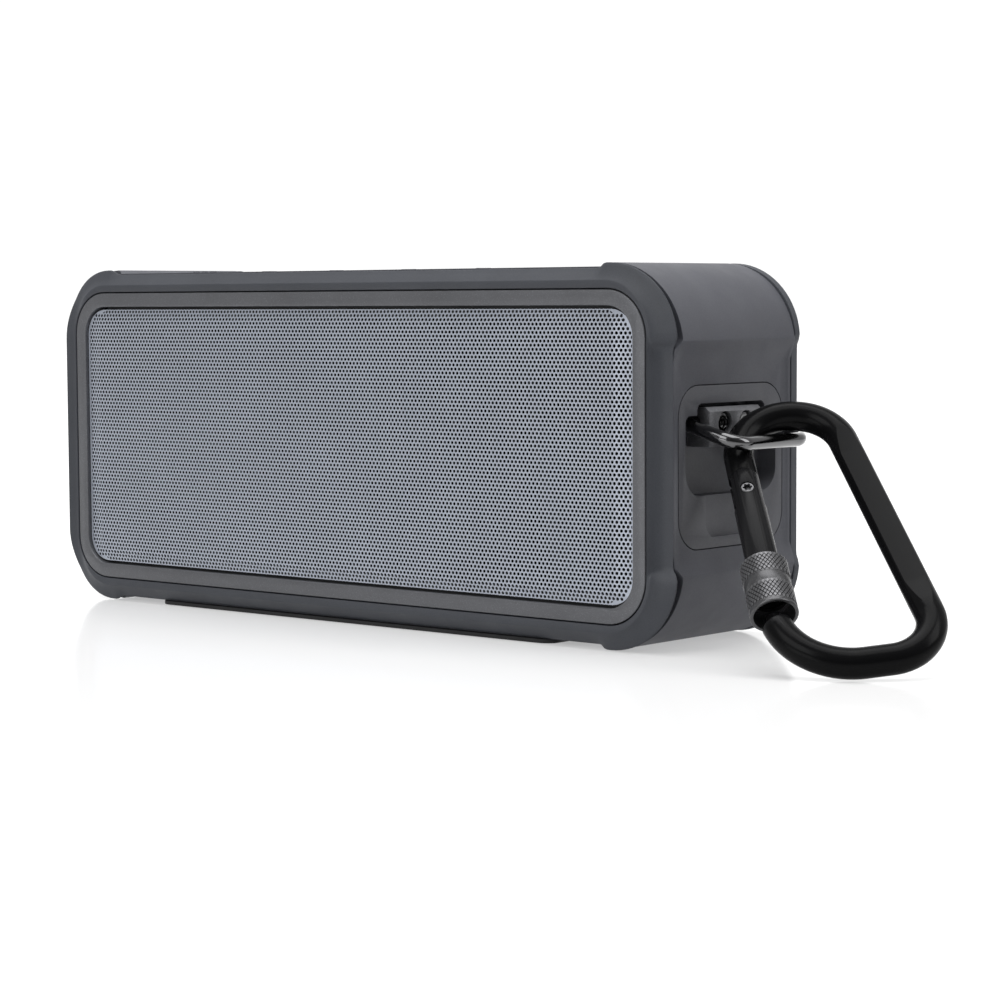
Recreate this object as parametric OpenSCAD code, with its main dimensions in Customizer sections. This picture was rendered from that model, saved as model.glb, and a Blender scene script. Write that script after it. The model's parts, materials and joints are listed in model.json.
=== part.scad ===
// Rugged shower speaker with a fold-out bail and a screw-lock carabiner.
// Millimetres. The origin is the middle of the foot on the floor, +X runs along the
// length to the end with the carabiner, +Y runs to the back, +Z is up.

/* [Body] */
// Length of the body over the two side waists
body_length = 181; // [180:0.5:182]
// Height of the bumper waist
waist_height = 75.8; // [75.4:0.1:76]
// Height of the body centre above the floor
centre_height = 39.1; // [39:0.05:39.2]
// How far the front face stands from the middle plane
face_reach = 23.05; // [22.9:0.05:23.2]

/* [Front] */
// Width of the metal-look frame around the grille
bezel_width = 3.2; // [2.6:0.1:3.4]
// Thickness of the perforated sheet
sheet_thickness = 0.6; // [0.5:0.1:0.7]
// Gap all round between the grille and its frame
grille_gap = 0.6; // [0.4:0.1:0.8]

/* [Drivers] */
// Distance from the middle to each driver
driver_offset = 43; // [41:0.5:44]
// Outer diameter of the dust caps
dust_cap_diameter = 16.2; // [15.8:0.1:16.4]

/* [Keys] */
// Length of one key cap
key_length = 14; // [12:0.5:14]
// Width of one key cap
key_width = 10; // [9:0.5:10]

/* [Clip] */
// Diameter of the carabiner rod
rod_diameter = 6; // [5.8:0.1:6]
// Diameter of the bail wire
wire_diameter = 2.9; // [2.8:0.1:2.9]
// Outer diameter of the lock sleeve
lock_diameter = 9.4; // [9.2:0.1:9.8]

/* [Hidden] */
$fn = 64;
half = body_length / 2;              // side waist
zc = centre_height;
fy = face_reach;
rod = rod_diameter / 2;
wire = wire_diameter / 2;
corner = 15;                         // corner radius of the waist
lip_rise = 1.8;                      // how far the lips stand out past the waist
sleeve_end = -20.2;                  // front edge of the sleeve
frame_w = 171;                       // outside of the front frame
frame_h = 67.2;
frame_r = 9.7;
grille_w = frame_w - 2 * bezel_width - 2 * grille_gap;
grille_h = frame_h - 2 * bezel_width - 2 * grille_gap - 0.2;
grille_r = frame_r - bezel_width - grille_gap;
key_x = [-62, -40, -18, 4, 26];      // places of the five keys
key_y = -3;
pad_top = zc + 38.2;                 // top of the sleeve under the keys
port_x = -50;                        // middle of the port recess
port_z = 20;
flap_axis = [21.5, 14.7];            // flap hinge in Y and Z
plate_x = half - 0.6;                // face of the end plate
pivot = [half - 3.2, 45.7];          // bail hinge in X and Z
bail_dx = 12.6;                      // hinge to crossbar
bail_dz = -3.6;
bail_tilt = atan2(-bail_dz, bail_dx);
bail_long = sqrt(bail_dx * bail_dx + bail_dz * bail_dz);
bail_half = 12;                      // half width of the bail
clip_turn = [131.37, -6.9, 41.83];   // how the carabiner leans
clip_at = [half + 9.9, 7.44, 47.103];
// The carabiner is drawn flat, with X across it, Z down it and Y through it
ring_top = [-2.5, 10.7, 10.7];       // centre and radius of each bend
ring_low = [6.46, 57.88, 9];
ring_toe = [1.4, 51.98, 14.9];
spine_gap = sqrt(pow(ring_low[0] - ring_top[0], 2) + pow(ring_low[1] - ring_top[1], 2));
spine_lean = atan2(ring_low[1] - ring_top[1], ring_low[0] - ring_top[0])
             - acos((ring_top[2] - ring_low[2]) / spine_gap);
toe_end = 167.6;                     // where the toe bend stops
hinge = [-13.2, 21.3];               // gate hinge
gate_end = 48;
lock_at = 39.9;                      // near end of the lock sleeve
lock_length = 12.8;
gate_rod = 3.2;

// ---------- shared shapes ----------

module rounded(w, h, r) {
  square([w - 2 * r, h], center = true);
  square([w, h - 2 * r], center = true);
  for (sx = [-1, 1], sy = [-1, 1])
    translate([sx * (w / 2 - r), sy * (h / 2 - r)])
      circle(r);
}

// rounded plate facing the front, between two depths
module slab(w, h, r, y0, y1) {
  translate([0, y1, zc])
    rotate([90, 0, 0])
      linear_extrude(y1 - y0)
        rounded(w, h, r);
}

// a flat shape in X and Z, drawn through the depth
module through_y(y0, y1) {
  translate([0, y1, 0])
    rotate([90, 0, 0])
      linear_extrude(y1 - y0)
        children();
}

// a flat shape in Y and Z, drawn along the length
module through_x(x0, x1) {
  translate([x0, 0, 0])
    rotate([90, 0, 90])
      linear_extrude(x1 - x0)
        children();
}

module four_corners() {
  for (sx = [0, 1], sz = [0, 1])
    translate([0, 0, zc])
      mirror([sx, 0, 0])
        mirror([0, 0, sz])
          translate([0, 0, -zc])
            children();
}

module at_driver(side) {
  translate([side * driver_offset, 0, zc])
    rotate([90, 0, 0])
      children();
}

// ---------- shell ----------

module chamfer_walls(wide, reach, y1) {
  translate([0, 0, -20])
    linear_extrude(120)
      polygon([[-wide, -fy], [wide, -fy], [reach, y1], [reach, -18],
               [-reach, -18], [-reach, y1]]);
}

module chamfer_roof(high, reach, y1) {
  through_x(-120, 120)
    polygon([[-fy, zc - high], [y1, zc - reach], [-18, zc - reach],
             [-18, zc + reach], [y1, zc + reach], [-fy, zc + high]]);
}

// edge is where the chamfer meets the waist, ridge where it meets the corner lips
module bumper(edge, ridge) {
  wide = half - 1.854 * (fy - edge);
  high = waist_height / 2 - 1.024 * (fy - edge);
  difference() {
    union() {
      intersection() {
        slab(body_length, waist_height, corner, -fy, sleeve_end - 0.1);
        chamfer_walls(wide, half, -edge);
        chamfer_roof(high, waist_height / 2, -edge);
      }
      // raised lips around the corners; the plain end has none on its side
      intersection() {
        slab(body_length + 3.6, waist_height + 2.2, 18, -fy, sleeve_end - 0.1);
        chamfer_walls(wide, half + lip_rise, -ridge);
        chamfer_roof(high, waist_height / 2 + 1.1, -ridge);
        four_corners()
          through_y(-24, -17)
            polygon([[72, zc + 21.5], [72, zc + 37.9], [75, zc + 39.1],
                     [half + 1.9, zc + 39.1], [half + 1.9, zc + 24.5],
                     [half, zc + 21.5]]);
        beyond_plain_end(half);
      }
      // tongue that closes on the baffle
      slab(body_length - 3.6, 71.2, 14.4, sleeve_end - 0.2, -19.2);
    }
    // seat for the front frame
    slab(frame_w + 0.5, frame_h + 0.5, frame_r + 0.2, -24, -19.15);
  }
}

// everything but what stands out past the end without a handle
module beyond_plain_end(reach) {
  translate([-reach, -30, -10])
    cube([2 * reach + 20, 60, 100]);
}

module front_bumper() {
  color("#4b4d53")
    bumper(21, 21.4);
}

module rear_bumper() {
  color("#4b4d53")
    mirror([0, 1, 0])
      bumper(22.7, 21);
}

module body_sleeve() {
  color("#5b5d63")
    difference() {
      union() {
        slab(body_length + 1.6, 76.4, 17, sleeve_end, -sleeve_end);
        // corners raised to the height of the lips
        intersection() {
          slab(body_length + 3.2, 78, 17.8, sleeve_end, -sleeve_end);
          four_corners()
            through_y(-21, 21)
              polygon([[72, zc + 19], [72, zc + 38.1], [75, zc + 39.1],
                       [half + 3, zc + 39.1], [half + 3, zc + 19]]);
          beyond_plain_end(half + 0.8);
        }
      }
      slab(body_length - 3.2, 71.6, 14.6, -21, 21);
      // flat panels let into both ends
      for (s = [0, 1])
        mirror([s, 0, 0])
          through_y(-21, 21)
            polygon([[plate_x, 20], [plate_x, 58.2], [half + 1.7, 62.9],
                     [half + 4, 62.9], [half + 4, 15.3], [half + 1.7, 15.3]]);
      // opening for the end plate
      through_x(half - 4, half + 1)
        translate([0, 37])
          rounded(36, 33.2, 6.6);
      // windows for the keys
      for (x = key_x)
        translate([x, key_y, 72])
          linear_extrude(8)
            rounded(key_length + 0.6, key_width + 0.6, 3.3);
    }
}

module inner_shell() {
  color("#2b2c30")
    difference() {
      slab(body_length - 3.4, 71.4, 14.5, -17.7, 17.7);
      slab(body_length - 7.8, 67, 12.3, -18, 18);
      through_x(half - 6, half - 1)
        translate([0, 37])
          rounded(33.2, 31.2, 5.6);
      for (x = key_x)
        translate([x, key_y, 70])
          cylinder(r = 2.2, h = 6);
    }
}

module gasket() {
  difference() {
    slab(body_length - 3.6, 71.2, 14.4, -18.3, -17.7);
    slab(body_length - 7.8, 67, 12.3, -19, -17);
  }
}

module front_gasket() {
  color("#1c1c1e")
    gasket();
}

module rear_gasket() {
  color("#1c1c1e")
    mirror([0, 1, 0])
      gasket();
}

module foot_pad() {
  color("#18181a")
    difference() {
      translate([0, 0, 0.01])
        linear_extrude(0.85)
          rounded(120, 42.6, 4);
      // bevelled ends
      for (s = [0, 1])
        mirror([s, 0, 0])
          translate([60, 0, 0])
            rotate([0, 45, 0])
              cube([0.9, 50, 0.9], center = true);
    }
}

// ---------- front ----------

module front_bezel() {
  color("#6e6d6f")
    difference() {
      slab(frame_w, frame_h, frame_r, -fy, -20);
      slab(frame_w - 2 * bezel_width, frame_h - 2 * bezel_width,
           frame_r - bezel_width, -24, -19);
    }
}

module dome(w, h, r, y0, y1, slope) {
  // flat-topped pillow: corner cones joined by sloping sides
  d = y1 - y0;
  for (sx = [-1, 1], sz = [-1, 1])
    translate([sx * (w / 2 - r), y1, zc + sz * (h / 2 - r)])
      rotate([90, 0, 0])
        cylinder(r1 = r, r2 = r - slope, h = d);
  through_x(-(w / 2 - r), w / 2 - r)
    polygon([[y1, zc - h / 2], [y0, zc - h / 2 + slope],
             [y0, zc + h / 2 - slope], [y1, zc + h / 2]]);
  translate([0, 0, zc - (h / 2 - r)])
    linear_extrude(h - 2 * r)
      polygon([[-w / 2, y1], [-w / 2 + slope, y0], [w / 2 - slope, y0], [w / 2, y1]]);
}

module front_grille() {
  color("#aeb1ba")
    difference() {
      union() {
        slab(grille_w, grille_h, grille_r, -21.9, -21.9 + sheet_thickness);
        dome(grille_w - 5, grille_h - 2.4, 5.2, -22.7, -21.6, 2.2);
      }
      dome(grille_w - 6, grille_h - 3.4, 4.7, -22.1, -21.2, 1.9);
    }
}

module acoustic_cloth() {
  color("#101012")
    slab(159.4, 55.4, 5, -21.29, -21);
}

// room for the end plate behind the sleeve
module plate_room() {
  through_x(half - 8, half - 2)
    translate([0, 37])
      rounded(34, 32, 6);
}

module front_baffle() {
  color("#26272a")
    difference() {
      union() {
        slab(frame_w - 0.2, frame_h - 0.2, frame_r - 0.1, -20, -19.1);
        slab(body_length - 4, 71, 14.3, -19.1, -18.3);
        slab(172.4, 66.2, 11.8, -18.3, -14.8);
        difference() {
          slab(163, 58.6, 5.6, -21.3, -20);
          slab(159.8, 55.8, 5.2, -22, -19);
        }
      }
      for (s = [-1, 1])
        at_driver(s) {
          translate([0, 0, 17])
            cylinder(r = 27.2, h = 6);
          cylinder(r = 23.4, h = 25);
          for (a = [45:90:315])
            rotate(a)
              translate([25.3, 0, 10])
                cylinder(r = 0.95, h = 10);
        }
      plate_room();
    }
}

// ---------- drivers ----------

module driver_basket() {
  difference() {
    rotate_extrude()
      polygon([[21.4, 18.2], [27, 18.2], [27, 17], [23.2, 17], [16.6, 3.6],
               [8.4, 3.6], [8.4, 4.8], [15.9, 4.8], [22, 17], [21.4, 17]]);
    // four windows between the arms
    for (a = [0:90:270])
      rotate(a)
        translate([0, 0, 6.5])
          rotate([90, 0, 0])
            translate([0, 0, 10])
              linear_extrude(20)
                polygon([[-7, 0], [7, 0], [9, 8.5], [-9, 8.5]]);
    for (a = [45:90:315])
      rotate(a)
        translate([25.3, 0, 16])
          cylinder(r = 1.05, h = 3);
  }
}

module driver_magnet() {
  difference() {
    translate([0, 0, -4.4])
      cylinder(r = 16, h = 8);
    translate([0, 0, -5])
      cylinder(r = 8.4, h = 10);
  }
}

module driver_yoke() {
  translate([0, 0, -6.4])
    cylinder(r = 15, h = 2);
  translate([0, 0, -4.4])
    cylinder(r = 6.2, h = 8.6);
}

module driver_cone() {
  rotate_extrude()
    polygon([[6.9, 0], [7.4, 0], [7.4, 6.2], [19.6, 17.3], [19.6, 17.9],
             [7.2, 7], [6.9, 6.8]]);
}

module dust_cap() {
  r = dust_cap_diameter / 2;
  translate([0, 0, 8.2])
    difference() {
      translate([0, 0, -4.9])
        sphere(r = sqrt(r * r + 24.01));
      translate([0, 0, -4.9])
        sphere(r = sqrt(r * r + 24.01) - 0.4);
      translate([0, 0, -20])
        cylinder(r = 20, h = 20);
    }
}

module surround() {
  rotate_extrude()
    union() {
      translate([21, 18.2])
        difference() {
          circle(1.9);
          circle(1.5);
          translate([-3, -6])
            square([6, 6]);
        }
      translate([18.4, 17.95])
        square([1, 0.5]);
      translate([22.6, 18.2])
        square([1, 0.5]);
    }
}

module left_driver_basket() {
  color("#1f2023")
    at_driver(-1)
      driver_basket();
}

module right_driver_basket() {
  color("#1f2023")
    at_driver(1)
      driver_basket();
}

module left_driver_magnet() {
  color("#33343a")
    at_driver(-1)
      driver_magnet();
}

module right_driver_magnet() {
  color("#33343a")
    at_driver(1)
      driver_magnet();
}

module left_driver_yoke() {
  color("#9a9ca0")
    at_driver(-1)
      driver_yoke();
}

module right_driver_yoke() {
  color("#9a9ca0")
    at_driver(1)
      driver_yoke();
}

module left_cone() {
  color("#8b8d92")
    at_driver(-1)
      driver_cone();
}

module right_cone() {
  color("#8b8d92")
    at_driver(1)
      driver_cone();
}

module left_dust_cap() {
  color("#a4a6ab")
    at_driver(-1)
      dust_cap();
}

module right_dust_cap() {
  color("#a4a6ab")
    at_driver(1)
      dust_cap();
}

module left_surround() {
  color("#17171a")
    at_driver(-1)
      surround();
}

module right_surround() {
  color("#17171a")
    at_driver(1)
      surround();
}

module driver_screws() {
  color("#8f9196")
    for (s = [-1, 1], a = [45:90:315])
      at_driver(s)
        rotate(a)
          translate([25.3, 0, 0]) {
            translate([0, 0, 18.75])
              cylinder(r = 1.6, h = 0.9);
            translate([0, 0, 14.9])
              cylinder(r = 0.9, h = 3.85);
          }
}

// ---------- back ----------

module rear_cover() {
  color("#303136")
    difference() {
      union() {
        slab(frame_w - 0.2, frame_h - 0.2, frame_r - 0.1, 19.1, 22.4);
        slab(body_length - 4, 71, 14.3, 18.3, 19.1);
        slab(172.4, 66.2, 11.8, 15.6, 18.3);
      }
      // chamber behind the slots, with a ledge for the radiator
      translate([20, 0, 0])
        slab(72, 46, 8, 15, 20.6);
      for (x = [-8:4:48])
        translate([x, 0, 0])
          through_y(20, 23)
            translate([0, zc])
              rounded(2, 38, 0.99);
      // port recess and its two openings
      through_y(19.9, 23) {
        translate([port_x, port_z])
          rounded(32, 13, 2.5);
        translate([port_x - 16, port_z - 6.5])
          square([32, 4]);
      }
      plate_room();
      through_y(15, 20)
        translate([port_x - 6, port_z + 1.4])
          rounded(9.6, 3.8, 1.8);
      through_y(15, 20)
        translate([port_x + 7.5, port_z + 1.4])
          circle(3.1);
      // sockets for the flap hinge
      translate([port_x, flap_axis[0], flap_axis[1]])
        rotate([0, 90, 0])
          cylinder(r = 0.56, h = 33.8, center = true);
      for (sx = [-1, 1], sz = [-1, 1])
        translate([sx * 78.5, 0, zc + sz * 27])
          rotate([-90, 0, 0]) {
            translate([0, 0, 21.2])
              cylinder(r = 2.1, h = 3);
            translate([0, 0, 15])
              cylinder(r = 1.05, h = 8);
          }
    }
}

module rear_screws() {
  color("#8f9196")
    for (sx = [-1, 1], sz = [-1, 1])
      translate([sx * 78.5, 0, zc + sz * 27])
        rotate([-90, 0, 0])
          difference() {
            union() {
              translate([0, 0, 21.2])
                cylinder(r = 1.9, h = 1);
              translate([0, 0, 14])
                cylinder(r = 1, h = 7.2);
            }
            translate([0, 0, 21.7])
              cylinder(r = 1, h = 2, $fn = 6);
          }
}

module port_flap() {
  color("#46484d")
    translate([port_x, 0, 0]) {
      difference() {
        union() {
          through_y(20.8, 22.4)
            union() {
              translate([0, 20.45])
                rounded(31.4, 11.5, 2.2);
              translate([-15.7, 14.7])
                square([31.4, 3]);
            }
          translate([0, flap_axis[0], flap_axis[1]])
            rotate([0, 90, 0])
              cylinder(r = 0.9, h = 31.4, center = true);
        }
        // finger scoop on the free edge
        translate([0, 23.4, 26.4])
          rotate([0, 90, 0])
            cylinder(r = 1.6, h = 8, center = true);
      }
      // hinge stubs
      translate([0, flap_axis[0], flap_axis[1]])
        rotate([0, 90, 0])
          cylinder(r = 0.5, h = 33.2, center = true);
      // two raised seals behind the flap
      through_y(20.15, 20.8)
        translate([-6, port_z + 1.4])
          rounded(8.4, 2.8, 1.3);
      through_y(20.15, 20.8)
        translate([7.5, port_z + 1.4])
          circle(1.6);
    }
}

module port_board() {
  color("#1f5a3c")
    translate([port_x - 15, 5, 17.2])
      cube([30, 10.4, 1.2]);
}

module usb_socket() {
  color("#b9bbc0")
    difference() {
      through_y(8, 19.4)
        translate([port_x - 6, port_z + 1.4])
          rounded(9, 3.2, 1.55);
      through_y(10, 20)
        translate([port_x - 6, port_z + 1.4])
          rounded(8.4, 2.6, 1.25);
    }
}

module aux_socket() {
  color("#232428")
    difference() {
      union() {
        translate([port_x + 4.5, 7, 18.45])
          cube([6, 8.4, 5.9]);
        translate([port_x + 7.5, 15.4, port_z + 1.4])
          rotate([-90, 0, 0])
            cylinder(r = 3, h = 4.4);
      }
      translate([port_x + 7.5, 8, port_z + 1.4])
        rotate([-90, 0, 0])
          cylinder(r = 1.8, h = 14);
    }
}

module radiator_surround() {
  color("#17171a")
    translate([20, 0, 0])
      difference() {
        slab(71.4, 45.4, 7.7, 15.7, 16.6);
        slab(58, 32, 6, 15, 17);
      }
}

module radiator_plate() {
  color("#5c5e64")
    translate([20, 0, 0])
      slab(57.4, 31.4, 5.7, 15.7, 17);
}

// ---------- electronics ----------

module battery_cradle() {
  color("#3a3b40")
    difference() {
      translate([-15, -14.6, 12])
        cube([30, 16, 44]);
      translate([-13.6, -16, 13.6])
        cube([27.2, 15.6, 40.8]);
    }
}

module battery_pack() {
  color("#3f6fa8")
    translate([0, -7.6, 34])
      for (s = [-1, 1])
        translate([s * 6.75, 0, -20])
          cylinder(r = 6.6, h = 40);
}

module main_board() {
  color("#1f5a3c")
    union() {
      translate([-24, 2, 10])
        cube([48, 1.6, 50]);
      for (p = [[-10, 40, 9], [8, 24, 12], [-14, 20, 6]])
        translate([p[0], 3.6, p[1]])
          cube([p[2], 1.2, p[2]]);
      for (p = [[14, 48], [6, 48]])
        translate([p[0], 3.6, p[1]])
          rotate([-90, 0, 0])
            cylinder(r = 2.8, h = 6);
    }
}

module key_board() {
  color("#1f5a3c")
    union() {
      translate([-72, key_y - 5, 68])
        cube([108, 10, 1.2]);
      for (x = key_x)
        translate([x - 3, key_y - 3, 69.2])
          cube([6, 6, 2.8]);
    }
}

// ---------- keys ----------

module key_cap(x) {
  translate([x, key_y, 0]) {
    translate([0, 0, 75.6])
      linear_extrude(pad_top + 0.1 - 75.6)
        rounded(key_length, key_width, 3);
    translate([0, 0, 72.6])
      cylinder(r = 1.9, h = 3.2);
    translate([0, 0, pad_top + 0.1])
      children();
  }
}

module power_key() {
  color("#5b5d63")
    key_cap(key_x[0])
      for (dx = [-3, 0, 3])
        translate([dx, 0, 0])
          cylinder(r = 0.8, h = 0.4);
}

module bluetooth_key() {
  color("#5b5d63")
    key_cap(key_x[1])
      difference() {
        cylinder(r = 1.8, h = 0.2);
        translate([0, 0, -0.1])
          cylinder(r = 1.1, h = 1);
      }
}

module play_key() {
  color("#5b5d63")
    key_cap(key_x[2])
      cylinder(r = 2, h = 0.2, $fn = 3);
}

module volume_down_key() {
  color("#5b5d63")
    key_cap(key_x[3])
      translate([-2, -0.4, 0])
        cube([4, 0.8, 0.2]);
}

module volume_up_key() {
  color("#5b5d63")
    key_cap(key_x[4])
      union() {
        translate([-2, -0.4, 0])
          cube([4, 0.8, 0.2]);
        translate([-0.4, -2, 0])
          cube([0.8, 4, 0.2]);
      }
}

// ---------- end plate and bail ----------

module end_plate() {
  color("#57595f")
    difference() {
      union() {
        through_x(plate_x - 1, plate_x)
          translate([0, 37])
            rounded(35.6, 32.8, 6.4);
        through_x(plate_x - 6.7, plate_x - 1)
          translate([0, 37])
            rounded(33, 31, 5.5);
      }
      // pocket the bail folds into
      through_x(plate_x - 4.5, plate_x + 1) {
        translate([0, 39.3])
          rounded(31, 16.2, 5);
        translate([0, 44.2])
          rounded(31, 6.4, 1.5);
        translate([0, 45.8])
          rounded(23.2, 8, 1.5);
      }
      // shallow finger scoop
      through_x(plate_x - 1.2, plate_x + 1)
        translate([0, 28.4])
          rounded(17.6, 11.2, 3);
      for (s = [-1, 1])
        translate([plate_x - 8, s * 3.6, pivot[1]])
          rotate([0, 90, 0])
            cylinder(r = 1.25, h = 5);
    }
}

module bail_bracket() {
  color("#626469")
    difference() {
      through_y(-9, 9)
        polygon([[plate_x - 4.5, 41], [plate_x + 1.1, 41], [plate_x + 1.1, 48.1],
                 [plate_x + 0.1, 49], [plate_x - 4.5, 49]]);
      for (s = [-1, 1]) {
        translate([plate_x - 6, s * 3.6, pivot[1]])
          rotate([0, 90, 0])
            cylinder(r = 1.35, h = 8);
        translate([plate_x - 0.7, s * 3.6, pivot[1]])
          rotate([0, 90, 0])
            cylinder(r = 2.4, h = 3);
        // bearing for one end of the bail
        translate([pivot[0], s * 7.4, pivot[1]])
          rotate([90, 0, 0])
            cylinder(r = wire + 0.06, h = 4, center = true);
      }
    }
}

module bracket_screws() {
  color("#7d7f84")
    for (s = [-1, 1])
      translate([plate_x, s * 3.6, pivot[1]])
        rotate([0, 90, 0])
          difference() {
            union() {
              translate([0, 0, -0.7])
                cylinder(r = 2, h = 1.3);
              translate([0, 0, -6.5])
                cylinder(r = 1.2, h = 5.8);
            }
            translate([0, 0, -0.2])
              cylinder(r = 1.1, h = 2, $fn = 6);
          }
}

// quarter of a ring in the XY plane
module elbow(r, thick, a0, sweep) {
  rotate([0, 0, a0])
    rotate_extrude(angle = sweep)
      translate([r, 0])
        circle(thick);
}

module bail() {
  leg_end = bail_long - 3.5;
  color("#1a1a1c")
    translate([pivot[0], 0, pivot[1]])
      rotate([0, bail_tilt, 0])
        union() {
          for (s = [0, 1])
            mirror([0, s, 0]) {
              translate([0, 5.7, 0])
                rotate([-90, 0, 0])
                  cylinder(r = wire, h = bail_half - 2 - 5.7);
              translate([2, bail_half - 2, 0])
                elbow(2, wire, 90, 90);
              translate([2, bail_half, 0])
                rotate([0, 90, 0])
                  cylinder(r = wire, h = leg_end - 2);
              translate([leg_end, bail_half - 3.5, 0])
                elbow(3.5, wire, 0, 90);
            }
          translate([bail_long, 0, 0])
            rotate([90, 0, 0])
              cylinder(r = wire, h = 2 * (bail_half - 3.5), center = true);
        }
}

// ---------- carabiner ----------

module clip() {
  translate(clip_at)
    rotate(clip_turn)
      children();
}

// bend in the plane of the carabiner
module bend(ring, a0, a1) {
  translate([ring[0], 0, ring[1]])
    rotate([90, 0, 0])
      elbow(ring[2], rod, a0, a1 - a0);
}

module carabiner_body() {
  run = sqrt(spine_gap * spine_gap - pow(ring_top[2] - ring_low[2], 2));
  color("#1c1c1e")
    clip()
      difference() {
        union() {
          difference() {
            union() {
              bend(ring_top, 180, 360 + spine_lean);
              translate([hinge[0], 0, ring_top[1] - 0.5])
                cylinder(r = rod - 0.02, h = hinge[1] - ring_top[1] - 3.5);
              translate([ring_top[0] + ring_top[2] * cos(spine_lean), 0,
                         ring_top[1] + ring_top[2] * sin(spine_lean)])
                rotate([0, -spine_lean, 0])
                  translate([0, 0, -0.5])
                    cylinder(r = rod - 0.02, h = run + 1);
              bend(ring_low, spine_lean, 90);
              translate([ring_toe[0] - 0.5, 0, ring_toe[1] + ring_toe[2]])
                rotate([0, 90, 0])
                  cylinder(r = rod - 0.02, h = ring_low[0] - ring_toe[0] + 1);
              bend(ring_toe, 90, toe_end);
            }
            // hollow the end around the gate hinge
            translate([hinge[0], 0, hinge[1]])
              rotate([90, 0, 0])
                cylinder(r = 5.5, h = 10, center = true);
            // milled flats along the spine
            for (s = [-1, 1])
              translate([12, s * (2 + 5), 31])
                rotate([0, -spine_lean, 0])
                  cube([14, 10, 38], center = true);
          }
          // tongue the gate turns on
          translate([hinge[0] - 2.4, -1.2, hinge[1] - 7])
            cube([4.8, 2.4, 7]);
          translate([hinge[0], 0, hinge[1]])
            rotate([90, 0, 0])
              cylinder(r = 2.8, h = 2.4, center = true);
          // necked nose the lock sleeve closes over
          translate([hinge[0], 0, 53.4])
            cylinder(r = 1.8, h = 2.7);
        }
        translate([hinge[0], 0, hinge[1]])
          rotate([90, 0, 0])
            cylinder(r = 1.06, h = 10, center = true);
      }
}

module carabiner_gate() {
  color("#232325")
    clip()
      difference() {
        intersection() {
          translate([hinge[0], 0, hinge[1] - 6])
            cylinder(r = gate_rod, h = gate_end - hinge[1] + 6);
          union() {
            translate([hinge[0], 0, hinge[1]])
              rotate([90, 0, 0])
                cylinder(r = 5.2, h = 10, center = true);
            translate([hinge[0] - 5, -5, hinge[1]])
              cube([10, 10, 40]);
          }
        }
        // slot for the tongue, and the bore the plunger sits in
        translate([hinge[0] - 5, -1.5, hinge[1] - 8])
          cube([10, 3, 11.6]);
        translate([hinge[0], 0, hinge[1]])
          cylinder(r = 1.3, h = 17);
        translate([hinge[0], 0, hinge[1]])
          rotate([90, 0, 0])
            cylinder(r = 1.02, h = 10, center = true);
      }
}

module gate_rivet() {
  color("#8f9196")
    clip()
      translate([hinge[0], 0, hinge[1]])
        rotate([90, 0, 0])
          cylinder(r = 1, h = 6.2, center = true);
}

module gate_plunger() {
  color("#b9bbc0")
    clip()
      translate([hinge[0], 0, hinge[1] + 3.2])
        cylinder(r = 1.15, h = 13);
}

module lock_sleeve() {
  r = lock_diameter / 2;
  color("#2a2a2c")
    clip()
      translate([hinge[0], 0, lock_at])
        difference() {
          cylinder(r = r, h = lock_length);
          translate([0, 0, -1])
            cylinder(r = gate_rod + 0.06, h = 20);
          // mouth that closes over the nose
          translate([0, 0, 8.8])
            cylinder(r = r - 0.7, h = 5);
          // plain band between the two knurled rings
          translate([0, 0, 4.7])
            difference() {
              cylinder(r = r + 1, h = 2.4);
              translate([0, 0, -1])
                cylinder(r = r - 0.25, h = 5);
            }
        }
}

front_bumper();
rear_bumper();
body_sleeve();
inner_shell();
front_gasket();
rear_gasket();
front_baffle();
front_bezel();
front_grille();
acoustic_cloth();
rear_cover();
rear_screws();
port_flap();
port_board();
usb_socket();
aux_socket();
radiator_surround();
radiator_plate();
left_driver_basket();
left_driver_magnet();
left_driver_yoke();
left_cone();
left_dust_cap();
left_surround();
right_driver_basket();
right_driver_magnet();
right_driver_yoke();
right_cone();
right_dust_cap();
right_surround();
driver_screws();
battery_cradle();
battery_pack();
main_board();
key_board();
power_key();
bluetooth_key();
play_key();
volume_down_key();
volume_up_key();
foot_pad();
end_plate();
bail_bracket();
bracket_screws();
bail();
carabiner_body();
carabiner_gate();
gate_rivet();
gate_plunger();
lock_sleeve();
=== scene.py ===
"""Looks of the rugged shower speaker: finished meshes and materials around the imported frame.

Lengths are millimetres up to the moment that a mesh is made, and metres from there on.
"""

import json
import math

import bmesh
import bpy
import numpy as np
from mathutils import Matrix, Vector
from mathutils.geometry import delaunay_2d_cdt

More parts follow.
